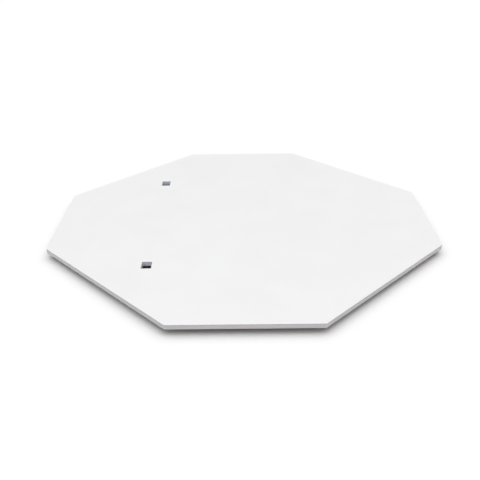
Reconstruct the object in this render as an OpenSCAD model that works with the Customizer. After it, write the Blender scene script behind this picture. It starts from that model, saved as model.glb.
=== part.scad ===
// Octagonal game board: a laminated panel with two lined through slots, standing on screwed rubber feet.
// Millimetres. The origin is on the table under the board's centre; +X right, +Y back, +Z up.

/* [Board] */
// Overall width, from the left side to the right side
board_w = 800; // [750:1:1000]
// Overall depth, from the front side to the back side
board_d = 786; // [750:1:1000]
// How much of each corner of the rectangle is sawn off, at 45 degrees
corner_cut = 264; // [150:1:270]
// Thickness of the wood-fibre core
core_t = 8; // [7:0.5:18]
// Thickness of the plastic laminate on the playing face
laminate_t = 0.5; // [0.5:0.1:1.2]
// Thickness of the backing sheet under the core
backing_t = 0.5; // [0.5:0.1:1.2]
// Thickness of the strip glued round the core and its backing
band_t = 1.5; // [0.5:0.1:3]

/* [Slots] */
// Clear opening of a slot, along X
slot_w = 19.5; // [10:0.5:40]
// Clear opening of a slot, along Y
slot_d = 25; // [10:0.5:60]
// Distance from the board's centre to the slots, towards the left side
slot_offset = 189; // [100:1:200]
// Distance between the centres of the two slots
slot_spacing = 393; // [200:1:400]
// Wall of the sleeve that lines a slot
sleeve_wall = 1; // [0.5:0.1:2]

/* [Feet] */
// Height of a foot, which is the gap under the board
foot_h = 13; // [11:0.5:20]
// Diameter of a foot where it meets the board
foot_base_d = 25; // [22:0.5:34]
// Diameter of a foot where it meets the table
foot_tip_d = 20; // [18:0.5:21]
// Distance of a foot's centre from its corner of the board
foot_inset = 70; // [40:1:120]
// Diameter of the recess for the screw head
recess_d = 11; // [10.5:0.5:12]
// Depth of the recess, washer included
recess_depth = 7; // [5:0.5:8]

/* [Fixings] */
// Diameter of the washer under the screw head
washer_d = 10; // [8:0.5:10]
// Thickness of the washer
washer_t = 1; // [0.5:0.1:1.5]
// Outside diameter of the screw thread
screw_d = 3.5; // [3:0.1:4]
// Depth that the screw bites into the core
screw_bite = 5.5; // [4:0.5:6]
// Diameter of the screw head
head_d = 7; // [6:0.1:7.5]
// Height of the screw head
head_h = 2.6; // [2:0.1:3]

/* [Hidden] */
SIDES = ["front", "front_right", "right", "back_right", "back", "back_left", "left", "front_left"];
CORNERS = ["front_left", "front_right", "right_front", "right_back",
           "back_right", "back_left", "left_back", "left_front"];

// Heights of the layers, from the table up
panel_z = foot_h;
core_z = panel_z + backing_t;
top_laminate_z = core_z + core_t;
lining_h = backing_t + core_t;

// A foot's screw, from the head up
washer_z = recess_depth - washer_t;
screw_l = core_z + screw_bite - washer_z;
point_l = 3;
pilot_d = screw_d + 0.1;
pilot_depth = screw_bite + 0.5;
shank_hole_d = screw_d + 0.6;

// Softened edges of a foot
tip_round = 1;
recess_chamfer = 0.5;
base_flange = 1;
arc_steps = 6;

cut_through = 1;
$fn = 64;

// Corners of the board outline, moved inwards by inset, anticlockwise from the left end of the front side
function outline(inset) =
    let (x = board_w / 2 - inset,
         y = board_d / 2 - inset,
         cut = corner_cut - inset * (2 - sqrt(2)))
    [[-x + cut, -y], [x - cut, -y], [x, -y + cut], [x, y - cut],
     [x - cut, y], [-x + cut, y], [-x, y - cut], [-x, -y + cut]];

// Unit vector from corner i of the outline into the board, halfway between the two sides that meet there
function inward(i) = let (angle = 67.5 + 45 * i) [cos(angle), sin(angle)];

function foot_centre(i) = outline(0)[i] + foot_inset * inward(i);

module at_slots() {
    for (side = [-1, 1])
        translate([-slot_offset, side * slot_spacing / 2, 0])
            children();
}

module at_feet() {
    for (i = [0:7])
        translate(concat(foot_centre(i), 0))
            children();
}

// A flat layer of the board with both slots cut through it
module slotted_layer(inset, z, thickness, opening_w, opening_d) {
    difference() {
        translate([0, 0, z])
            linear_extrude(thickness)
                polygon(outline(inset));
        at_slots()
            translate([-opening_w / 2, -opening_d / 2, z - cut_through])
                cube([opening_w, opening_d, thickness + 2 * cut_through]);
    }
}

// A layer inside the strips and sleeves, drilled from below for the screws
module lined_layer(z, thickness, drilled) {
    difference() {
        slotted_layer(band_t, z, thickness, slot_w + 2 * sleeve_wall, slot_d + 2 * sleeve_wall);
        at_feet()
            translate([0, 0, z - cut_through])
                cylinder(d = pilot_d, h = drilled + cut_through);
    }
}

module core_panel() {
    color("burlywood")
        lined_layer(core_z, core_t, pilot_depth);
}

module top_laminate() {
    color("whitesmoke")
        slotted_layer(0, top_laminate_z, laminate_t, slot_w, slot_d);
}

module backing_sheet() {
    color("saddlebrown")
        lined_layer(panel_z, backing_t, backing_t + cut_through);
}

// The strip on side i, as tall as the core and backing, with its ends mitred to meet the next strips
module edge_band(i) {
    outer = outline(0);
    inner = outline(band_t);
    next = (i + 1) % 8;
    color("lightgray")
        translate([0, 0, panel_z])
            linear_extrude(lining_h)
                polygon([outer[i], outer[next], inner[next], inner[i]]);
}

// A rectangular tube that lines a slot under the laminate; side is -1 in front and 1 behind
module slot_sleeve(side) {
    outer_w = slot_w + 2 * sleeve_wall;
    outer_d = slot_d + 2 * sleeve_wall;
    color("gainsboro")
        translate([-slot_offset, side * slot_spacing / 2, panel_z])
            difference() {
                translate([-outer_w / 2, -outer_d / 2, 0])
                    cube([outer_w, outer_d, lining_h]);
                translate([-slot_w / 2, -slot_d / 2, -cut_through])
                    cube([slot_w, slot_d, lining_h + 2 * cut_through]);
            }
}

// Half of a foot's section: a taper with a round toe, a recess below and a screw hole through the web
function foot_section() =
    let (hole_r = shank_hole_d / 2,
         recess_r = recess_d / 2,
         tip_r = foot_tip_d / 2,
         base_r = foot_base_d / 2)
    concat(
        [[hole_r, recess_depth], [recess_r, recess_depth],
         [recess_r, recess_chamfer], [recess_r + recess_chamfer, 0]],
        [for (step = [0:arc_steps])
            let (angle = -90 + 90 * step / arc_steps)
            [tip_r - tip_round + tip_round * cos(angle), tip_round + tip_round * sin(angle)]],
        [[base_r, foot_h - base_flange], [base_r, foot_h], [hole_r, foot_h]]);

module foot(i) {
    color("#262626")
        translate(concat(foot_centre(i), 0))
            rotate_extrude()
                polygon(foot_section());
}

module foot_washers() {
    color("silver")
        at_feet()
            translate([0, 0, washer_z])
                difference() {
                    cylinder(d = washer_d, h = washer_t);
                    translate([0, 0, -cut_through])
                        cylinder(d = shank_hole_d, h = washer_t + 2 * cut_through);
                }
}

// Half of a screw's section, head down: a domed head, a straight shank and a point
function screw_section() =
    let (crown = head_h * 0.6,
         shank_r = screw_d / 2,
         head_r = head_d / 2)
    concat(
        [for (step = [0:arc_steps])
            let (angle = -90 + 90 * step / arc_steps)
            [head_r * cos(angle), -head_h + crown + crown * sin(angle)]],
        [[head_r, 0], [shank_r, 0], [shank_r, screw_l - point_l], [0, screw_l]]);

module foot_screws() {
    color("lightsteelblue")
        at_feet()
            translate([0, 0, washer_z])
                rotate_extrude()
                    polygon(screw_section());
}

core_panel();
top_laminate();
backing_sheet();
slot_sleeve(-1);  // slot_sleeve_front
slot_sleeve(1);  // slot_sleeve_back
for (i = [0:7]) edge_band(i);
for (i = [0:7]) foot(i);
foot_washers();
foot_screws();
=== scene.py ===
import math

import bmesh
import bpy
from bpy.props import FloatProperty, FloatVectorProperty, IntProperty, PointerProperty
from mathutils import Matrix, Vector
from mathutils.geometry import tessellate_polygon


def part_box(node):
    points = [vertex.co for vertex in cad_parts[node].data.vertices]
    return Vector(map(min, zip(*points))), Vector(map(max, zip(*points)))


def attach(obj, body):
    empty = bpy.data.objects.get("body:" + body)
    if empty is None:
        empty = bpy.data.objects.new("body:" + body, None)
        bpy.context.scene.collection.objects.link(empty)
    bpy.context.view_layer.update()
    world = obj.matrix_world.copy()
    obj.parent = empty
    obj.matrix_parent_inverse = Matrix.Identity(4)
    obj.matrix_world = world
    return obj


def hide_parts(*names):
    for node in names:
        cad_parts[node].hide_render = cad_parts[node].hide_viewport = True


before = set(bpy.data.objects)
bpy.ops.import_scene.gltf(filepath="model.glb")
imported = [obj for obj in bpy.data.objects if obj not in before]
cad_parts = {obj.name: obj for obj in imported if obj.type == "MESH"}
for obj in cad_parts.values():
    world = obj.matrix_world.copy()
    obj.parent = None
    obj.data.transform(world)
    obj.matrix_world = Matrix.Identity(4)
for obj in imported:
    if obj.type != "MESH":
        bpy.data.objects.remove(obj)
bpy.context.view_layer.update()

bl_info = {
    "name": "Octagonal Game Board",
    "version": (1, 0, 0),
    "blender": (4, 5, 0),
    "location": "3D View > Sidebar > Game Board",
    "description": "Gives a laminated octagonal game board its finished surfaces, feet and fixings",
    "category": "Object",
}

MM = 0.001

# Names of the board's sides and corners, anticlockwise from the front seen from above.
SIDES = ("front", "front_right", "right", "back_right", "back", "back_left", "left", "front_left")
CORNERS = (
    "front_left", "front_right", "right_front", "right_back",
    "back_right", "back_left", "left_back", "left_front",
)
SLOTS = ("front", "back")
# Direction that the front side faces, in degrees from +X.
FRONT_NORMAL = -90.0

# Faces of a rounded arris or corner are narrower than this, and flat ones are wider.
FLAT_EDGE = 0.5 * MM
# Faces that meet at more than this angle keep a crisp edge.
CREASE = math.radians(35)
# A section is swept round a circle this small, and its points this close together are joined.
AXIS_RADIUS = 0.001 * MM
AXIS_WELD = 0.01 * MM
# Points this close together are joined after the screw's parts are combined.
SCREW_WELD = 0.01 * MM
# The thread climbs this share of the screw's point.
POINT_THREAD = 0.75
# The driver's wings: radius at their blunt end, and width as a share of their reach.
WING_END = 0.6 * MM
WING_WIDTH = 0.3
# The wings start this many head heights down, a little outside the head.
WING_START = 1.02
# How strongly every relief turns the light, as a share of its full effect.
RELIEF_STRENGTH = 0.3
# Half the width of the studio floor, and how far off the softbox hangs, in metres.
FLOOR_REACH = 15
SOFTBOX_DISTANCE = 3
# The light tent brightens between these two heights above the horizon, in degrees.
TENT_FADE = (30, 60)
# Width of the camera's sensor, in millimetres.
SENSOR_WIDTH = 36


def to_linear(hex_colour):
    """Linear RGBA of an sRGB colour such as #F2F2F4."""
    values = [int(hex_colour[i:i + 2], 16) / 255 for i in (1, 3, 5)]
    linear = [v / 12.92 if v <= 0.04045 else ((v + 0.055) / 1.055) ** 2.4 for v in values]
    return (*linear, 1.0)


# ---------------------------------------------------------------- the board, as the frame gives it


class BoardFrame:
    """Where the board's layers, slots and feet are, in metres."""

    def __init__(self):
        low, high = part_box("top_laminate")
        self.half_width = high[0]
        self.half_depth = high[1]
        self.top_sheet = (low[2], high[2])
        low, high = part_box("backing_sheet")
        self.backing = (low[2], high[2])
        low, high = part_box("edge_band_front")
        self.corner_cut = self.half_width - high[0]
        self.band_thickness = high[1] - low[1]
        self.lining = (low[2], high[2])
        self.slots = {name: self.middle(f"slot_sleeve_{name}") for name in SLOTS}
        low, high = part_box("slot_sleeve_front")
        self.sleeve_width = high[0] - low[0]
        self.sleeve_depth = high[1] - low[1]
        self.feet = {name: self.middle(f"foot_{name}") for name in CORNERS}
        low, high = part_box(f"foot_{CORNERS[0]}")
        self.foot_height = high[2] - low[2]
        self.foot_base_radius = (high[0] - low[0]) / 2
        low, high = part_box("foot_washers")
        self.washer = (low[2], high[2])
        low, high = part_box("foot_screws")
        self.screw = (low[2], high[2])

    @staticmethod
    def middle(node):
        """Plan position of a node's centre."""
        low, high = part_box(node)
        return ((low[0] + high[0]) / 2, (low[1] + high[1]) / 2)

    def corners(self, inset):
        """Corners of the octagon moved inwards by inset, from the left end of the front side."""
        x = self.half_width - inset
        y = self.half_depth - inset
        cut = self.corner_cut - inset * (2 - math.sqrt(2))
        return [
            (-x + cut, -y), (x - cut, -y), (x, -y + cut), (x, y - cut),
            (x - cut, y), (-x + cut, y), (-x, y - cut), (-x, -y + cut),
        ]


BOARD = BoardFrame()


# ---------------------------------------------------------------- settings


def length_property(name, description, default, low, high):
    """A length, with its values given in millimetres and kept in metres."""
    return FloatProperty(
        name=name, description=description, default=default * MM, min=low * MM, max=high * MM,
        unit="LENGTH", precision=5)


def colour_property(name, description, hex_colour):
    """A colour, given as sRGB."""
    return FloatVectorProperty(
        name=name, description=description, default=to_linear(hex_colour), size=4, min=0, max=1,
        subtype="COLOR")


class BoardSizes(bpy.types.PropertyGroup):
    """Small sizes that the frame's solids leave out."""

    sheet_corner: length_property(
        "Sheet Corner", "Radius of the laminate's eight corners, seen from above", 0.8, 0.5, 3)
    sheet_arris: length_property(
        "Sheet Arris", "Radius filed on the laminate's outer arris", 0.2, 0.05, 0.24)
    seam_arris: length_property(
        "Seam Arris", "Radius of the arrises that meet in a seam", 0.06, 0.02, 0.2)
    strip_arris: length_property(
        "Strip Arris", "Radius of an edge strip's arrises", 0.15, 0.05, 0.5)
    sleeve_wall: length_property(
        "Sleeve Wall", "Wall of the sleeve inside a slot", 1, 0.5, 2)
    sleeve_corner: length_property(
        "Sleeve Corner", "Inside radius of a sleeve's moulded corners", 0.8, 0.3, 3)
    foot_tip_radius: length_property(
        "Foot Tip Radius", "Radius of a foot where it meets the table", 10, 9, 10.5)
    foot_flange: length_property(
        "Foot Flange", "Height of the straight rim under the board", 1, 0.5, 2)
    recess_radius: length_property(
        "Recess Radius", "Radius of the recess for the screw head", 5.5, 5.2, 6)
    washer_radius: length_property(
        "Washer Radius", "Outside radius of the washer", 5, 4, 5)
    hole_radius: length_property(
        "Hole Radius", "Radius of the screw hole in a foot and its washer", 2.05, 1.8, 2.3)
    pilot_radius: length_property(
        "Pilot Radius", "Radius of the screw holes in the backing sheet", 1.8, 1.5, 2.1)
    thread_radius: length_property(
        "Thread Radius", "Outside radius of the screw thread", 1.75, 1.5, 2)
    root_radius: length_property(
        "Root Radius", "Radius of the screw between the turns of its thread", 1.25, 1, 1.4)
    head_radius: length_property(
        "Head Radius", "Radius of the screw head", 3.5, 3, 3.75)
    head_crown: length_property(
        "Head Crown", "Rounding of the screw head's outer edge", 1.5, 0.5, 2)
    drive_radius: length_property(
        "Drive Radius", "Reach of the cross recess from the screw's axis", 2.3, 1.5, 2.6)
    drive_depth: length_property(
        "Drive Depth", "Depth of the cross recess in the screw head", 1.8, 1, 2.2)
    plain_neck: length_property(
        "Plain Neck", "Length of the screw under its head that has no thread", 2, 0.5, 4)
    point_length: length_property(
        "Point Length", "Length of the screw's point", 3, 2, 4)
    thread_pitch: length_property(
        "Thread Pitch", "Distance between the turns of the screw thread", 1.6, 1, 2.5)
    turned_sides: IntProperty(
        name="Turned Sides", description="Flat sides that stand for a full turn of a round part",
        default=48, min=16, max=96)


class BoardColours(bpy.types.PropertyGroup):
    """Colours of the board's finishes."""

    laminate: colour_property("Laminate", "White of the playing face", "#EFEFF0")
    laminate_shade: colour_property(
        "Laminate Shade", "Slightly deeper white of the clouds in it", "#EDEDEE")
    paper_edge: colour_property(
        "Paper Edge", "Cut edge of the laminate, where its paper core shows", "#D2B8AE")
    # The strips' grey, darker than the laminate, is painted shade on the board's sides.
    strip: colour_property("Edge Strip", "Grey white of the plastic edge strips", "#C3C2C4")
    sleeve: colour_property("Slot Sleeve", "Cool grey white of the slot sleeves", "#DADDE6")
    # The backing's dark brown is partly painted shade: the sheet is real, but it is kept this dark
    # so that the gap under the board stays dark.
    backing: colour_property("Backing", "Brown of the backing sheet", "#5E534A")
    fibreboard: colour_property("Fibreboard", "Pale brown of the core", "#A98A62")
    rubber: colour_property("Rubber", "Black of the feet", "#1D1D1F")
    rubber_bloom: colour_property("Rubber Bloom", "Greyer tone of the bloom on the feet", "#2E2E31")
    zinc: colour_property("Zinc", "Plating of the washers and screws", "#C6C9CE")
    floor: colour_property("Floor", "White of the studio floor", "#F9F9F9")


class StudioSettings(bpy.types.PropertyGroup):
    """Camera and lights."""

    camera_place: FloatVectorProperty(
        name="Camera Place", description="Camera's place, from the centre of the top face",
        default=(-0.0046, -1.274, 0.6394), size=3, unit="LENGTH", subtype="XYZ")
    camera_tilt: FloatProperty(
        name="Camera Tilt", description="How far the camera looks below the horizon",
        default=math.radians(28.55), subtype="ANGLE")
    camera_turn: FloatProperty(
        name="Camera Turn", description="How far the camera looks to the left of straight ahead",
        default=math.radians(0.17), subtype="ANGLE")
    camera_roll: FloatProperty(
        name="Camera Roll", description="How far the camera leans, clockwise seen from behind it",
        default=math.radians(0.66), subtype="ANGLE")
    lens: FloatProperty(
        name="Lens", description="Focal length in millimetres, on a sensor 36 mm wide",
        default=48.63, min=20, max=200)
    low_light: FloatProperty(
        name="Low Light", description="Brightness of the light tent near the horizon",
        default=0.40, min=0, max=3)
    top_light: FloatProperty(
        name="Top Light", description="Brightness of the light tent overhead",
        default=1.61, min=0, max=3)
    backdrop: FloatProperty(
        name="Backdrop", description="Brightness of the backdrop where the camera sees it",
        default=1.05, min=0, max=3)
    key_strength: FloatProperty(
        name="Key Strength", description="Brightness of the softbox, in watts per square metre",
        default=0.18, min=0, max=10)
    key_spread: FloatProperty(
        name="Key Spread", description="Angle across the softbox, seen from the board",
        default=math.radians(20), subtype="ANGLE")
    key_height: FloatProperty(
        name="Key Height", description="Height angle of the softbox above the horizon",
        default=math.radians(35), subtype="ANGLE")
    key_turn: FloatProperty(
        name="Key Turn", description="Angle of the softbox to the left of the front",
        default=math.radians(29), subtype="ANGLE")


class GameBoard(bpy.types.PropertyGroup):
    """All settings of the board and its studio."""

    sizes: PointerProperty(type=BoardSizes)
    colours: PointerProperty(type=BoardColours)
    studio: PointerProperty(type=StudioSettings)


# ---------------------------------------------------------------- nodes and finishes


def add_node(tree, kind, inputs=None, **settings):
    """Add a node with its settings, and set its inputs or link them to nodes and sockets."""
    node = tree.nodes.new(kind)
    for name, value in settings.items():
        setattr(node, name, value)
    for key, value in (inputs or {}).items():
        if isinstance(value, bpy.types.Node):
            value = next(output for output in value.outputs if output.enabled)
        if isinstance(value, bpy.types.NodeSocket):
            tree.links.new(value, node.inputs[key])
        else:
            node.inputs[key].default_value = value
    return node


def new_material(name):
    """An empty node material: itself, its tree and its object coordinates."""
    material = bpy.data.materials.new(name)
    material.use_nodes = True
    tree = material.node_tree
    tree.nodes.clear()
    return material, tree, add_node(tree, "ShaderNodeTexCoord").outputs["Object"]


def surface(tree, colour, wear, gloss, relief, relief_depth, span=(0.3, 0.7), **constants):
    """The shader, with its relief that many metres deep, and any input that is even all over.

    Its roughness runs between the two values of gloss while the wear pattern runs over span.
    """
    roughness = add_node(
        tree, "ShaderNodeMapRange",
        {"Value": wear, "From Min": span[0], "From Max": span[1],
         "To Min": gloss[0], "To Max": gloss[1]})
    bump = add_node(
        tree, "ShaderNodeBump",
        {"Height": relief, "Strength": RELIEF_STRENGTH, "Distance": relief_depth})
    shader = add_node(
        tree, "ShaderNodeBsdfPrincipled",
        {"Base Color": colour, "Roughness": roughness, "Normal": bump})
    for name, value in constants.items():
        shader.inputs[name.replace("_", " ")].default_value = value
    add_node(tree, "ShaderNodeOutputMaterial", {"Surface": shader})


def drift(tree, place, size, colour_a, colour_b):
    """Colour that drifts between two tones in soft patches of that size."""
    patches = add_node(
        tree, "ShaderNodeTexNoise", {"Vector": place, "Scale": 1 / size, "Detail": 3})
    share = add_node(
        tree, "ShaderNodeMapRange", {"Value": patches, "From Min": 0.35, "From Max": 0.65})
    return add_node(
        tree, "ShaderNodeMix", {"Factor": share, "A": colour_a, "B": colour_b}, data_type="RGBA")


def fine_lines(tree, place, spacing, stretch, turn=0.0):
    """Fine lines that far apart, along each axis whose stretch is far under 1."""
    drawn_out = add_node(
        tree, "ShaderNodeMapping",
        {"Vector": place, "Scale": stretch, "Rotation": (0, 0, math.radians(turn))})
    return add_node(
        tree, "ShaderNodeTexNoise", {"Vector": drawn_out, "Scale": 1 / spacing, "Detail": 2})


def shaded(colour, share):
    """A colour times that share: darker under 1 and brighter over 1."""
    return (*(share * value for value in colour[:3]), 1)


def laminate_material(colours):
    """Melamine laminate, pressed against a pearl-textured steel plate.

    It gives an even cool white with a soft sheen, faint clouds in the tone from the board behind
    it, and hairlines in the gloss from handling. The pearl grain of 0.4 mm is drawn at 1.6 mm.
    """
    material, tree, place = new_material("melamine_laminate_white")
    clouds = drift(tree, place, 90 * MM, colours.laminate, colours.laminate_shade)
    one_way = fine_lines(tree, place, 1.5 * MM, (0.02, 1, 1), 28)
    other_way = fine_lines(tree, place, 1.5 * MM, (0.02, 1, 1), -47)
    hairlines = add_node(
        tree, "ShaderNodeMath", {0: one_way, 1: other_way}, operation="MAXIMUM")
    pearl = add_node(
        tree, "ShaderNodeTexNoise", {"Vector": place, "Scale": 1 / (1.6 * MM), "Detail": 2})
    surface(tree, clouds, hairlines, (0.42, 0.56), pearl, 0.03 * MM, span=(0.62, 0.74))
    return material


def paper_edge_material(colours):
    """Resin-filled paper, the laminate's own core, sawn and filed.

    It shows as a thin warm line along the arris, a little uneven from the file. The file marks
    of 0.1 mm are drawn at 0.3 mm.
    """
    material, tree, place = new_material("laminate_paper_core_edge")
    tone = drift(tree, place, 6 * MM, colours.paper_edge, shaded(colours.paper_edge, 0.88))
    marks = fine_lines(tree, place, 0.3 * MM, (1, 1, 0.1))
    surface(tree, tone, marks, (0.5, 0.65), marks, 0.02 * MM)
    return material


def strip_material(colours):
    """ABS edge strip, extruded and glued on.

    It gives a satin grey white with fine die lines along its length; its grey, slightly greyer than
    the face, is painted shade on the board's sides, and a band of painted shade darkens its top in
    the seam under the laminate. The die lines of 0.1 mm are drawn at 0.5 mm.
    """
    material, tree, place = new_material("extruded_abs_grey_painted_shade")
    # The strip darkens towards its top, in the 0.8 mm under the laminate's edge: painted shade in
    # the seam.
    seam = BOARD.lining[1]
    height = add_node(tree, "ShaderNodeSeparateXYZ", {"Vector": place}).outputs["Z"]
    painted_seam_shade = add_node(
        tree, "ShaderNodeMapRange",
        {"Value": height, "From Min": seam - 0.8 * MM, "From Max": seam, "To Max": 0.6})
    clean = drift(tree, place, 60 * MM, colours.strip, shaded(colours.strip, 0.97))
    tone = add_node(
        tree, "ShaderNodeMix",
        {"Factor": painted_seam_shade, "A": clean, "B": shaded(colours.strip, 0.85)}, data_type="RGBA")
    lines = fine_lines(tree, place, 0.5 * MM, (0.01, 0.01, 1))
    surface(tree, tone, lines, (0.38, 0.5), lines, 0.015 * MM)
    return material


def sleeve_material(colours):
    """ABS slot sleeve, injection moulded.

    It gives a cool grey white, even and nearly matt, with a fine grain from the mould. The grain
    of 0.1 mm is drawn at 0.4 mm.
    """
    material, tree, place = new_material("moulded_abs_cool_white")
    tone = drift(tree, place, 8 * MM, colours.sleeve, shaded(colours.sleeve, 0.94))
    grain = add_node(
        tree, "ShaderNodeTexNoise", {"Vector": place, "Scale": 1 / (0.4 * MM), "Detail": 2})
    surface(tree, tone, grain, (0.5, 0.65), grain, 0.03 * MM)
    return material


def backing_material(colours):
    """Phenolic backing sheet, sanded on its back.

    It gives a dull brown with parallel sanding scratches, kept dark as painted shade for the gap
    under the board. The scratches of 0.2 mm are drawn at 1 mm.
    """
    material, tree, place = new_material("sanded_phenolic_brown_painted_shade")
    scratches = fine_lines(tree, place, 1 * MM, (0.02, 1, 1))
    patches = drift(tree, place, 120 * MM, colours.backing, shaded(colours.backing, 0.85))
    scuffed = add_node(
        tree, "ShaderNodeMapRange",
        {"Value": scratches, "From Min": 0.45, "From Max": 0.75, "To Max": 0.8})
    tone = add_node(
        tree, "ShaderNodeMix",
        {"Factor": scuffed, "A": patches, "B": shaded(colours.backing, 1.35)}, data_type="RGBA")
    surface(tree, tone, scratches, (0.6, 0.75), scratches, 0.03 * MM)
    return material


def fibreboard_material(colours):
    """Medium-density fibreboard, sawn and drilled.

    It gives a pale brown felt of short fibres, with darker flecks of bark. The fibres of 0.5 mm
    are drawn at 1.5 mm.
    """
    material, tree, place = new_material("raw_fibreboard")
    felt = drift(tree, place, 1.5 * MM, colours.fibreboard, shaded(colours.fibreboard, 1.25))
    bark = add_node(
        tree, "ShaderNodeTexNoise", {"Vector": place, "Scale": 1 / (4 * MM), "Detail": 2})
    flecks = add_node(
        tree, "ShaderNodeMapRange",
        {"Value": bark, "From Min": 0.62, "From Max": 0.7, "To Max": 0.6})
    tone = add_node(
        tree, "ShaderNodeMix",
        {"Factor": flecks, "A": felt, "B": shaded(colours.fibreboard, 0.45)}, data_type="RGBA")
    fibres = add_node(
        tree, "ShaderNodeTexNoise", {"Vector": place, "Scale": 1 / (1.5 * MM), "Detail": 5})
    surface(tree, tone, fibres, (0.85, 0.95), fibres, 0.15 * MM)
    return material


def rubber_material(colours):
    """EPDM rubber, moulded in a spark-eroded tool.

    It gives a dull black with a fine pitted skin and a grey bloom in patches. The pits of 0.1 mm
    are drawn at 0.5 mm.
    """
    material, tree, place = new_material("moulded_epdm_rubber")
    bloom = drift(tree, place, 7 * MM, colours.rubber, colours.rubber_bloom)
    pits = add_node(
        tree, "ShaderNodeTexNoise", {"Vector": place, "Scale": 1 / (0.5 * MM), "Detail": 2})
    surface(tree, bloom, pits, (0.65, 0.85), pits, 0.08 * MM)
    return material


def zinc_material(colours, name, grain_size, roughness):
    """Steel, stamped or cold-headed, then bright zinc plated.

    It gives a cool silver with a faint spangle and duller patches where it was handled.
    """
    material, tree, place = new_material(name)
    spangle = add_node(
        tree, "ShaderNodeTexVoronoi", {"Vector": place, "Scale": 1 / grain_size})
    share = add_node(tree, "ShaderNodeMapRange", {"Value": spangle, "From Max": 0.7})
    tone = add_node(
        tree, "ShaderNodeMix",
        {"Factor": share, "A": colours.zinc, "B": shaded(colours.zinc, 0.8)}, data_type="RGBA")
    handled = add_node(
        tree, "ShaderNodeTexNoise", {"Vector": place, "Scale": 1 / (3 * MM), "Detail": 3})
    surface(tree, tone, handled, (roughness, roughness + 0.2), handled, 0.01 * MM,
            Metallic=1)
    return material


def floor_material(colours):
    """Matt white studio paper, with the faintest tooth and no gloss."""
    material, tree, place = new_material("matt_white_paper")
    tooth = add_node(
        tree, "ShaderNodeTexNoise", {"Vector": place, "Scale": 1 / (2 * MM), "Detail": 2})
    surface(tree, colours.floor, tooth, (0.95, 1.0), tooth, 0.01 * MM,
            Specular_IOR_Level=0)
    return material


# ---------------------------------------------------------------- shapes


def ring(centres, turn, radius, steps=4):
    """Anticlockwise outline: round each centre an arc of that radius through that turn.

    The first centre's arc ends where the front side starts, so its last normal points forward.
    """
    points = []
    for i, (x, y) in enumerate(centres):
        start = FRONT_NORMAL + turn * (i - 1)
        for step in range(steps + 1):
            angle = math.radians(start + turn * step / steps)
            points.append((x + radius * math.cos(angle), y + radius * math.sin(angle)))
    return points


def octagon(start, corner_radius):
    """Outline of a layer that starts that far in, taken in further by its argument."""
    centres = BOARD.corners(start + corner_radius)
    return lambda inset: ring(centres, 45, corner_radius - inset)


def rectangle(centre, width, depth, corner_radius, outwards):
    """Outline of a rectangle, taken in by its argument, or let out where outwards is true."""
    x, y = centre
    half_x = width / 2 - corner_radius
    half_y = depth / 2 - corner_radius
    centres = [(x - half_x, y - half_y), (x + half_x, y - half_y),
               (x + half_x, y + half_y), (x - half_x, y + half_y)]
    sign = 1 if outwards else -1
    return lambda offset: ring(centres, 90, corner_radius + sign * offset)


def round_hole(centre, radius, sides=32):
    """Outline of a round hole, let out by its argument."""
    return lambda offset: ring([centre], 360, radius + offset, sides)[:-1]


def arris_rows(low, high, low_arris, high_arris, steps=4):
    """Offset and height of each row of a plate's edge, from its lower face to its upper one."""
    rows = []
    for step in range(steps + 1):
        angle = math.radians(90 * step / steps)
        rows.append((low_arris * (1 - math.sin(angle)), low + low_arris * (1 - math.cos(angle))))
    for step in range(steps + 1):
        angle = math.radians(90 * step / steps)
        rows.append((high_arris * (1 - math.cos(angle)), high - high_arris * (1 - math.sin(angle))))
    return rows


def plate(outer, holes, low, high, low_arris, high_arris):
    """A flat plate with rounded arrises. The two flat faces take material 0 and the edges 1."""
    mesh = bmesh.new()
    rows = arris_rows(low, high, low_arris, high_arris)
    outlines = [outer, *holes]
    loops = [[[mesh.verts.new((x, y, z)) for x, y in outline(offset)] for offset, z in rows]
             for outline in outlines]
    for number, rings in enumerate(loops):
        for below, above in zip(rings, rings[1:]):
            for i in range(len(below)):
                quad = [below[i - 1], below[i], above[i], above[i - 1]]
                face = mesh.faces.new(quad if number == 0 else quad[::-1])
                face.material_index = 1
                length = (below[i].co - below[i - 1].co).length
                height = (above[i].co - below[i].co).length
                face.smooth = min(length, height) < FLAT_EDGE
    for row, flip in ((0, True), (-1, False)):
        verts = [v for rings in loops for v in rings[row]]
        flat = tessellate_polygon([[v.co for v in rings[row]] for rings in loops])
        for corners in flat:
            face = mesh.faces.new([verts[i] for i in corners])
            face.normal_update()
            if (face.normal.z > 0) == flip:
                face.normal_flip()
    return mesh


def mitred_strip(inner, outer, low, high, arris):
    """A strip between two outer and two inner corners, with every arris rounded."""
    mesh = bmesh.new()
    plan = [outer[0], outer[1], inner[1], inner[0]]
    bottom = [mesh.verts.new((x, y, low)) for x, y in plan]
    top = [mesh.verts.new((x, y, high)) for x, y in plan]
    mesh.faces.new(bottom[::-1])
    mesh.faces.new(top)
    for i in range(4):
        mesh.faces.new([bottom[i - 1], bottom[i], top[i], top[i - 1]])
    made = bmesh.ops.bevel(
        mesh, geom=mesh.edges[:], offset=arris, segments=3, profile=0.5, affect="EDGES")
    for face in made["faces"]:
        face.smooth = True
    return mesh


def solid(shape, *materials):
    """Turn a finished bmesh into a mesh facing outwards, in one material or a plate's two."""
    mesh = bpy.data.meshes.new("solid")
    bmesh.ops.recalc_face_normals(shape, faces=shape.faces)
    for face in shape.faces:
        face.material_index = min(face.material_index, len(materials) - 1)
    shape.to_mesh(mesh)
    shape.free()
    for material in materials:
        mesh.materials.append(material)
    return mesh


def finish_piece(name, mesh, slot, *nodes):
    """Make an object of the mesh, ride it on the board and let it stand for those CAD nodes."""
    mesh.name = name
    piece = bpy.data.objects.new(name, mesh)
    bpy.context.scene.collection.objects.link(piece)
    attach(piece, "root")
    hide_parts(*nodes)


# ---------------------------------------------------------------- turned parts


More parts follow.
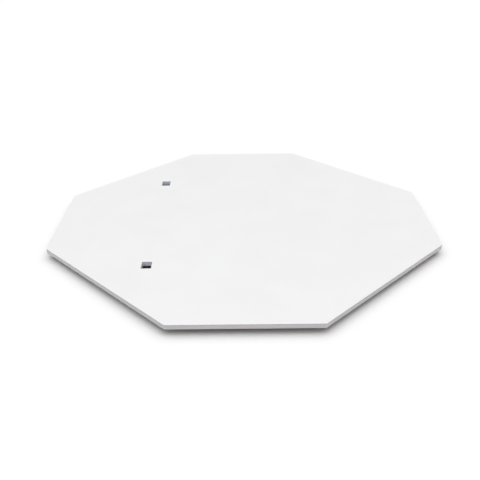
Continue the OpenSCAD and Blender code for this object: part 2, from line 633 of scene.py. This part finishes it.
def new_tree(name, inputs):
    """A geometry tree with a geometry input and output, a material input and those sizes."""
    tree = bpy.data.node_groups.new(name, "GeometryNodeTree")
    tree.interface.new_socket("Geometry", in_out="INPUT", socket_type="NodeSocketGeometry")
    tree.interface.new_socket("Geometry", in_out="OUTPUT", socket_type="NodeSocketGeometry")
    tree.interface.new_socket("Material", in_out="INPUT", socket_type="NodeSocketMaterial")
    tree.interface.new_socket("Sides", in_out="INPUT", socket_type="NodeSocketInt")
    for size in inputs:
        tree.interface.new_socket(size, in_out="INPUT", socket_type="NodeSocketFloat")
    return tree, add_node(tree, "NodeGroupInput").outputs


def turned(tree, corners, sides, closed):
    """Turn a section about the vertical axis. Each corner is a radius, a depth and a rounding."""
    index = add_node(tree, "GeometryNodeInputIndex")
    places = add_node(tree, "GeometryNodeIndexSwitch", {0: index}, data_type="VECTOR")
    roundings = add_node(tree, "GeometryNodeIndexSwitch", {0: index}, data_type="FLOAT")
    for switch in (places, roundings):
        while len(switch.index_switch_items) < len(corners):
            switch.index_switch_items.new()
    for i, (radius, depth, rounding) in enumerate(corners, start=1):
        place = add_node(tree, "ShaderNodeCombineXYZ", {"X": radius, "Y": depth})
        tree.links.new(place.outputs["Vector"], places.inputs[i])
        if isinstance(rounding, bpy.types.NodeSocket):
            tree.links.new(rounding, roundings.inputs[i])
        else:
            roundings.inputs[i].default_value = rounding
    points = add_node(
        tree, "GeometryNodePoints", {"Count": len(corners), "Position": places})
    curve = add_node(tree, "GeometryNodePointsToCurves", {"Points": points})
    cyclic = add_node(
        tree, "GeometryNodeSetSplineCyclic", {"Geometry": curve, "Cyclic": closed})
    section = add_node(
        tree, "GeometryNodeFilletCurve",
        {"Curve": cyclic, "Count": 4, "Radius": roundings, "Limit Radius": True}, mode="POLY")
    circle = add_node(
        tree, "GeometryNodeCurvePrimitiveCircle", {"Resolution": sides, "Radius": AXIS_RADIUS})
    swept = add_node(
        tree, "GeometryNodeCurveToMesh", {"Curve": circle, "Profile Curve": section})
    return add_node(
        tree, "GeometryNodeMergeByDistance", {"Geometry": swept, "Distance": AXIS_WELD})


def set_out(tree, sizes, part, turn_seed=None):
    """Put the part on every point, each turned at random where a seed is given, and finish it."""
    smooth = add_node(
        tree, "GeometryNodeSetShadeSmooth", {"Geometry": part, "Shade Smooth": True},
        domain="FACE")
    angle = add_node(tree, "GeometryNodeInputMeshEdgeAngle")
    sharp = add_node(
        tree, "ShaderNodeMath", {0: angle, 1: CREASE}, operation="GREATER_THAN")
    creased = add_node(
        tree, "GeometryNodeSetShadeSmooth",
        {"Geometry": smooth, "Selection": sharp, "Shade Smooth": False}, domain="EDGE")
    placed = add_node(
        tree, "GeometryNodeInstanceOnPoints", {"Points": sizes["Geometry"], "Instance": creased})
    if turn_seed is not None:
        turn = add_node(
            tree, "FunctionNodeRandomValue",
            {"Max": (0, 0, math.tau), "Seed": turn_seed}, data_type="FLOAT_VECTOR")
        rotation = add_node(tree, "FunctionNodeEulerToRotation", {"Euler": turn})
        tree.links.new(rotation.outputs[0], placed.inputs["Rotation"])
    real = add_node(tree, "GeometryNodeRealizeInstances", {"Geometry": placed})
    coated = add_node(
        tree, "GeometryNodeSetMaterial", {"Geometry": real, "Material": sizes["Material"]})
    add_node(tree, "NodeGroupOutput", {0: coated})
    return tree


def foot_tree():
    """A tapered foot: a straight rim, a round toe, a recess below and a screw hole above it."""
    tree, sizes = new_tree(
        "Rubber Foot",
        ("Height", "Base Radius", "Rim", "Tip Radius", "Recess Radius", "Web", "Hole Radius"))
    corners = [
        (sizes["Hole Radius"], 0.0, 0.0),
        (sizes["Base Radius"], 0.0, 0.15 * MM),
        (sizes["Base Radius"], sizes["Rim"], 0.5 * MM),
        (sizes["Tip Radius"], sizes["Height"], 1.0 * MM),
        (sizes["Recess Radius"], sizes["Height"], 0.5 * MM),
        (sizes["Recess Radius"], sizes["Web"], 0.4 * MM),
        (sizes["Hole Radius"], sizes["Web"], 0.2 * MM),
    ]
    return set_out(tree, sizes, turned(tree, corners, sizes["Sides"], True))


def washer_tree():
    """A stamped washer, its lower outer arris rolled over by the punch."""
    tree, sizes = new_tree("Washer", ("Radius", "Hole Radius", "Thickness"))
    corners = [
        (sizes["Hole Radius"], 0.0, 0.1 * MM),
        (sizes["Radius"], 0.0, 0.08 * MM),
        (sizes["Radius"], sizes["Thickness"], 0.35 * MM),
        (sizes["Hole Radius"], sizes["Thickness"], 0.1 * MM),
    ]
    return set_out(tree, sizes, turned(tree, corners, sizes["Sides"], True))


def thread(tree, sizes, base, height, end_radius):
    """A ridge that winds up from base through height, from the root radius to end_radius."""
    turns = add_node(
        tree, "ShaderNodeMath", {0: height, 1: sizes["Pitch"]}, operation="DIVIDE")
    helix = add_node(
        tree, "GeometryNodeCurveSpiral",
        {"Resolution": 24, "Rotations": turns, "Start Radius": sizes["Root Radius"],
         "End Radius": end_radius, "Height": height})
    upright = add_node(tree, "GeometryNodeSetCurveNormal", {"Curve": helix}, mode="Z_UP")
    section = add_node(
        tree, "GeometryNodeCurvePrimitiveCircle",
        {"Resolution": 4, "Radius": sizes["Ridge"]})
    swept = add_node(
        tree, "GeometryNodeCurveToMesh",
        {"Curve": upright, "Profile Curve": section, "Fill Caps": True})
    place = add_node(tree, "ShaderNodeCombineXYZ", {"Z": base})
    return add_node(
        tree, "GeometryNodeTransform", {"Geometry": swept, "Translation": place})


def cross_recess(tree, sizes):
    """The two tapered wings that a driver's point fills, from just under the head up into it."""
    wedge = add_node(
        tree, "GeometryNodeMeshCone",
        {"Vertices": 4, "Radius Bottom": sizes["Recess Radius"],
         "Radius Top": WING_END, "Depth": sizes["Recess Depth"]})
    squared = add_node(
        tree, "GeometryNodeTransform", {"Geometry": wedge, "Rotation": (0, 0, math.radians(45))})
    narrowed = add_node(
        tree, "GeometryNodeTransform", {"Geometry": squared, "Scale": (1, WING_WIDTH, 1)})
    sink = add_node(
        tree, "ShaderNodeMath", {0: sizes["Head Height"], 1: -WING_START}, operation="MULTIPLY")
    place = add_node(tree, "ShaderNodeCombineXYZ", {"Z": sink})
    return [
        add_node(
            tree, "GeometryNodeTransform",
            {"Geometry": narrowed, "Translation": place, "Rotation": (0, 0, math.radians(turn))})
        for turn in (0, 90)
    ]


def screw_tree():
    """A pan-head wood screw, head down, with a rolled thread and a cross recess."""
    tree, sizes = new_tree(
        "Wood Screw",
        ("Head Radius", "Head Height", "Crown", "Root Radius", "Ridge", "Pitch", "Length", "Neck",
         "Point Length", "Recess Radius", "Recess Depth"))
    tip = add_node(
        tree, "ShaderNodeMath", {0: 0.0, 1: sizes["Length"]}, operation="SUBTRACT")
    shoulder = add_node(
        tree, "ShaderNodeMath", {0: tip, 1: sizes["Point Length"]}, operation="ADD")
    corners = [
        (0.0, tip, 0.0),
        (sizes["Root Radius"], shoulder, 0.5 * MM),
        (sizes["Root Radius"], 0.0, 0.3 * MM),
        (sizes["Head Radius"], 0.0, 0.1 * MM),
        (sizes["Head Radius"], sizes["Head Height"], sizes["Crown"]),
        (0.0, sizes["Head Height"], 0.0),
    ]
    blank = turned(tree, corners, sizes["Sides"], False)
    shank = add_node(
        tree, "ShaderNodeMath", {0: sizes["Length"], 1: sizes["Point Length"]},
        operation="SUBTRACT")
    threaded = add_node(
        tree, "ShaderNodeMath", {0: shank, 1: sizes["Neck"]}, operation="SUBTRACT")
    tip_height = add_node(
        tree, "ShaderNodeMath", {0: sizes["Point Length"], 1: POINT_THREAD}, operation="MULTIPLY")
    tip_radius = add_node(
        tree, "ShaderNodeMath", {0: sizes["Root Radius"], 1: 1 - POINT_THREAD},
        operation="MULTIPLY")
    ridges = [
        thread(tree, sizes, sizes["Neck"], threaded, sizes["Root Radius"]),
        thread(tree, sizes, shank, tip_height, tip_radius),
    ]
    union = add_node(tree, "GeometryNodeMeshBoolean", operation="UNION", solver="EXACT")
    for part in (blank, *ridges):
        tree.links.new(part.outputs[0], union.inputs["Mesh 2"])
    driven = add_node(
        tree, "GeometryNodeMeshBoolean", {"Mesh 1": union}, operation="DIFFERENCE",
        solver="EXACT")
    for wing in cross_recess(tree, sizes):
        tree.links.new(wing.outputs[0], driven.inputs["Mesh 2"])
    welded = add_node(
        tree, "GeometryNodeMergeByDistance", {"Geometry": driven, "Distance": SCREW_WELD})
    # The recess leaves faces with many corners in line, which export as slivers unless split here.
    split = add_node(tree, "GeometryNodeTriangulate", {0: welded})
    return set_out(tree, sizes, split, turn_seed=7)


def grow(name, tree, places, height, sizes, material, slot, *nodes):
    """Run a geometry tree on points at those plan positions, and finish its mesh as a piece."""
    points = bpy.data.meshes.new(name)
    points.from_pydata([(x, y, height) for x, y in places], [], [])
    seedling = bpy.data.objects.new(name, points)
    bpy.context.scene.collection.objects.link(seedling)
    modifier = seedling.modifiers.new(tree.name, "NODES")
    modifier.node_group = tree
    values = {**sizes, "Material": material}
    for item in tree.interface.items_tree:
        if item.in_out == "INPUT" and item.name in values:
            modifier[item.identifier] = values[item.name]
    depsgraph = bpy.context.evaluated_depsgraph_get()
    mesh = bpy.data.meshes.new_from_object(seedling.evaluated_get(depsgraph))
    bpy.data.objects.remove(seedling)
    bpy.data.meshes.remove(points)
    if not mesh.polygons:
        raise RuntimeError(f"{name}: the tree made no faces")
    # A Boolean node leaves an empty slot ahead of the material that the tree sets.
    mesh.materials.clear()
    mesh.materials.append(material)
    for face in mesh.polygons:
        face.material_index = 0
    finish_piece(name, mesh, slot, *nodes)


# ---------------------------------------------------------------- operators


class GAME_BOARD_OT_core(bpy.types.Operator):
    """Give the fibreboard core its raw finish"""

    bl_idname = "game_board.finish_core"
    bl_label = "Core"

    def execute(self, context):
        material = fibreboard_material(context.scene.game_board.colours)
        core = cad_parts["core_panel"]
        for slot in core.material_slots:
            slot.material = material
        return {"FINISHED"}


class GAME_BOARD_OT_laminate(bpy.types.Operator):
    """Press the white laminate on top, over the strips, with its two slots"""

    bl_idname = "game_board.add_laminate"
    bl_label = "Laminate"

    def execute(self, context):
        sizes = context.scene.game_board.sizes
        colours = context.scene.game_board.colours
        materials = (laminate_material(colours), paper_edge_material(colours))
        width = BOARD.sleeve_width - 2 * sizes.sleeve_wall
        depth = BOARD.sleeve_depth - 2 * sizes.sleeve_wall
        slots = [rectangle(centre, width, depth, sizes.sleeve_corner, True)
                 for centre in BOARD.slots.values()]
        shape = plate(
            octagon(0, sizes.sheet_corner), slots, *BOARD.top_sheet,
            sizes.seam_arris, sizes.sheet_arris)
        finish_piece(
            "playing_face_sheet", solid(shape, *materials), "white_laminate", "top_laminate")
        return {"FINISHED"}


class GAME_BOARD_OT_backing(bpy.types.Operator):
    """Glue the backing sheet under the core, inside the strips"""

    bl_idname = "game_board.add_backing"
    bl_label = "Backing Sheet"

    def execute(self, context):
        sizes = context.scene.game_board.sizes
        material = backing_material(context.scene.game_board.colours)
        slots = [rectangle(centre, BOARD.sleeve_width, BOARD.sleeve_depth,
                           sizes.sleeve_corner + sizes.sleeve_wall, True)
                 for centre in BOARD.slots.values()]
        pilots = [round_hole(centre, sizes.pilot_radius) for centre in BOARD.feet.values()]
        shape = plate(
            octagon(BOARD.band_thickness, sizes.strip_arris), slots + pilots, *BOARD.backing,
            sizes.seam_arris, sizes.seam_arris)
        finish_piece(
            "underside_sheet", solid(shape, material), "backing_phenolic", "backing_sheet")
        return {"FINISHED"}


class GAME_BOARD_OT_edge_strips(bpy.types.Operator):
    """Glue a mitred strip on each of the eight sides"""

    bl_idname = "game_board.add_edge_strips"
    bl_label = "Edge Strips"

    def execute(self, context):
        sizes = context.scene.game_board.sizes
        material = strip_material(context.scene.game_board.colours)
        outer = BOARD.corners(0)
        inner = BOARD.corners(BOARD.band_thickness)
        for i, side in enumerate(SIDES):
            ends = (i, (i + 1) % len(SIDES))
            shape = mitred_strip(
                [inner[end] for end in ends], [outer[end] for end in ends],
                *BOARD.lining, sizes.strip_arris)
            finish_piece(
                f"edge_strip_{side}", solid(shape, material), "edge_strip_plastic",
                f"edge_band_{side}")
        return {"FINISHED"}


class GAME_BOARD_OT_slot_linings(bpy.types.Operator):
    """Line both slots with a moulded sleeve"""

    bl_idname = "game_board.add_slot_linings"
    bl_label = "Slot Linings"

    def execute(self, context):
        sizes = context.scene.game_board.sizes
        material = sleeve_material(context.scene.game_board.colours)
        wall = sizes.sleeve_wall
        for name, centre in BOARD.slots.items():
            outer = rectangle(
                centre, BOARD.sleeve_width, BOARD.sleeve_depth, sizes.sleeve_corner + wall, False)
            inner = rectangle(
                centre, BOARD.sleeve_width - 2 * wall, BOARD.sleeve_depth - 2 * wall,
                sizes.sleeve_corner, True)
            shape = plate(outer, [inner], *BOARD.lining, sizes.strip_arris, sizes.strip_arris)
            finish_piece(
                f"slot_lining_{name}", solid(shape, material), "sleeve_plastic",
                f"slot_sleeve_{name}")
        return {"FINISHED"}


class GAME_BOARD_OT_feet(bpy.types.Operator):
    """Stand the board on eight rubber feet"""

    bl_idname = "game_board.add_feet"
    bl_label = "Rubber Feet"

    def execute(self, context):
        sizes = context.scene.game_board.sizes
        material = rubber_material(context.scene.game_board.colours)
        tree = foot_tree()
        values = {
            "Sides": sizes.turned_sides,
            "Height": BOARD.foot_height,
            "Base Radius": BOARD.foot_base_radius,
            "Rim": sizes.foot_flange,
            "Tip Radius": sizes.foot_tip_radius,
            "Recess Radius": sizes.recess_radius,
            "Web": BOARD.foot_height - BOARD.washer[1],
            "Hole Radius": sizes.hole_radius,
        }
        for name, centre in BOARD.feet.items():
            grow(f"rubber_foot_{name}", tree, [centre], BOARD.foot_height, values, material,
                 "foot_rubber", f"foot_{name}")
        return {"FINISHED"}


class GAME_BOARD_OT_fixings(bpy.types.Operator):
    """Fix the feet with washers and wood screws"""

    bl_idname = "game_board.add_fixings"
    bl_label = "Washers and Screws"

    def execute(self, context):
        sizes = context.scene.game_board.sizes
        colours = context.scene.game_board.colours
        places = list(BOARD.feet.values())
        washers = {
            "Sides": sizes.turned_sides,
            "Radius": sizes.washer_radius,
            "Hole Radius": sizes.hole_radius,
            "Thickness": BOARD.washer[1] - BOARD.washer[0],
        }
        finish = zinc_material(colours, "zinc_plated_washer_steel", 0.8 * MM, 0.28)
        grow("steel_washers", washer_tree(), places, BOARD.washer[1], washers, finish,
             "washer_steel", "foot_washers")
        screws = {
            "Sides": sizes.turned_sides,
            "Head Radius": sizes.head_radius,
            "Head Height": BOARD.washer[0] - BOARD.screw[0],
            "Crown": sizes.head_crown,
            "Root Radius": sizes.root_radius,
            "Ridge": sizes.thread_radius - sizes.root_radius,
            "Pitch": sizes.thread_pitch,
            "Length": BOARD.screw[1] - BOARD.washer[0],
            "Neck": sizes.plain_neck,
            "Point Length": sizes.point_length,
            "Recess Radius": sizes.drive_radius,
            "Recess Depth": sizes.drive_depth,
        }
        finish = zinc_material(colours, "zinc_plated_screw_steel", 0.5 * MM, 0.22)
        grow("steel_screws", screw_tree(), places, BOARD.washer[0], screws, finish,
             "screw_steel", "foot_screws")
        return {"FINISHED"}


class GAME_BOARD_OT_studio(bpy.types.Operator):
    """Set up a white floor, a light tent, one softbox and the camera"""

    bl_idname = "game_board.set_up_studio"
    bl_label = "Studio"

    def execute(self, context):
        scene = context.scene
        studio = scene.game_board.studio
        scene.view_settings.view_transform = "Standard"
        scene.view_settings.look = "None"
        self.lay_floor(scene, floor_material(scene.game_board.colours))
        self.light_world(scene, studio)
        self.hang_softbox(scene, studio)
        self.place_camera(scene, studio)
        return {"FINISHED"}

    def lay_floor(self, scene, material):
        """A wide square floor, level with the undersides of the feet."""
        mesh = bpy.data.meshes.new("studio_floor")
        corners = [(x * FLOOR_REACH, y * FLOOR_REACH, 0)
                   for x, y in ((-1, -1), (1, -1), (1, 1), (-1, 1))]
        mesh.from_pydata(corners, [], [(0, 1, 2, 3)])
        mesh.materials.append(material)
        floor = bpy.data.objects.new("studio_floor", mesh)
        scene.collection.objects.link(floor)

    def light_world(self, scene, studio):
        """A white light tent, brighter overhead than low down, and a plain white backdrop."""
        world = bpy.data.worlds.new("white_studio")
        world.use_nodes = True
        scene.world = world
        tree = world.node_tree
        tree.nodes.clear()
        direction = add_node(tree, "ShaderNodeTexCoord").outputs["Generated"]
        height = add_node(tree, "ShaderNodeSeparateXYZ", {"Vector": direction}).outputs["Z"]
        brightness = add_node(
            tree, "ShaderNodeMapRange",
            {"Value": height, "From Min": math.sin(math.radians(TENT_FADE[0])),
             "From Max": math.sin(math.radians(TENT_FADE[1])), "To Min": studio.low_light,
             "To Max": studio.top_light},
            interpolation_type="SMOOTHSTEP")
        sky = add_node(
            tree, "ShaderNodeBackground",
            {"Color": (1, 1, 1, 1), "Strength": brightness.outputs["Result"]})
        backdrop = add_node(
            tree, "ShaderNodeBackground", {"Color": (1, 1, 1, 1), "Strength": studio.backdrop})
        seen = add_node(tree, "ShaderNodeLightPath").outputs["Is Camera Ray"]
        mix = add_node(
            tree, "ShaderNodeMixShader", {0: seen, 1: sky.outputs[0], 2: backdrop.outputs[0]})
        add_node(tree, "ShaderNodeOutputWorld", {"Surface": mix.outputs[0]})

    def hang_softbox(self, scene, studio):
        """A large and distant softbox, in front and to the left."""
        light = bpy.data.lights.new("softbox", "SUN")
        light.energy = studio.key_strength
        light.angle = studio.key_spread
        softbox = bpy.data.objects.new("softbox", light)
        turn = Matrix.Rotation(-studio.key_turn, 4, "Z")
        tilt = Matrix.Rotation(math.pi / 2 - studio.key_height, 4, "X")
        softbox.matrix_world = turn @ tilt @ Matrix.Translation((0, 0, SOFTBOX_DISTANCE))
        scene.collection.objects.link(softbox)

    def place_camera(self, scene, studio):
        """The camera, a little above the table and looking down at the board."""
        data = bpy.data.cameras.new("camera")
        data.lens = studio.lens
        data.sensor_width = SENSOR_WIDTH
        camera = bpy.data.objects.new("camera", data)
        place = Vector(studio.camera_place) + Vector((0, 0, BOARD.top_sheet[1]))
        turn = Matrix.Rotation(studio.camera_turn, 4, "Z")
        tilt = Matrix.Rotation(math.pi / 2 - studio.camera_tilt, 4, "X")
        roll = Matrix.Rotation(-studio.camera_roll, 4, "Z")
        camera.matrix_world = Matrix.Translation(place) @ turn @ tilt @ roll
        scene.collection.objects.link(camera)
        scene.camera = camera


class GAME_BOARD_PT_panel(bpy.types.Panel):
    """Sidebar panel that lists the board's pieces and settings"""

    bl_idname = "GAME_BOARD_PT_panel"
    bl_label = "Octagonal Game Board"
    bl_space_type = "VIEW_3D"
    bl_region_type = "UI"
    bl_category = "Game Board"

    def draw(self, context):
        board = context.scene.game_board
        for operator in OPERATORS:
            self.layout.operator(operator.bl_idname)
        for title, group in (("Sizes", board.sizes), ("Colours", board.colours),
                             ("Studio", board.studio)):
            box = self.layout.box()
            box.label(text=title)
            for name in group.bl_rna.properties.keys():
                if name not in ("rna_type", "name"):
                    box.prop(group, name)


SETTINGS = (BoardSizes, BoardColours, StudioSettings, GameBoard)
OPERATORS = (
    GAME_BOARD_OT_core,
    GAME_BOARD_OT_laminate,
    GAME_BOARD_OT_backing,
    GAME_BOARD_OT_edge_strips,
    GAME_BOARD_OT_slot_linings,
    GAME_BOARD_OT_feet,
    GAME_BOARD_OT_fixings,
    GAME_BOARD_OT_studio,
)
CLASSES = (*SETTINGS, *OPERATORS, GAME_BOARD_PT_panel)


def register():
    for cls in CLASSES:
        bpy.utils.register_class(cls)
    bpy.types.Scene.game_board = PointerProperty(type=GameBoard)


def unregister():
    del bpy.types.Scene.game_board
    for cls in reversed(CLASSES):
        bpy.utils.unregister_class(cls)


def main():
    register()
    bpy.ops.game_board.finish_core()
    bpy.ops.game_board.add_laminate()
    bpy.ops.game_board.add_backing()
    bpy.ops.game_board.add_edge_strips()
    bpy.ops.game_board.add_slot_linings()
    bpy.ops.game_board.add_feet()
    bpy.ops.game_board.add_fixings()
    bpy.ops.game_board.set_up_studio()


if __name__ == "__main__":
    main()
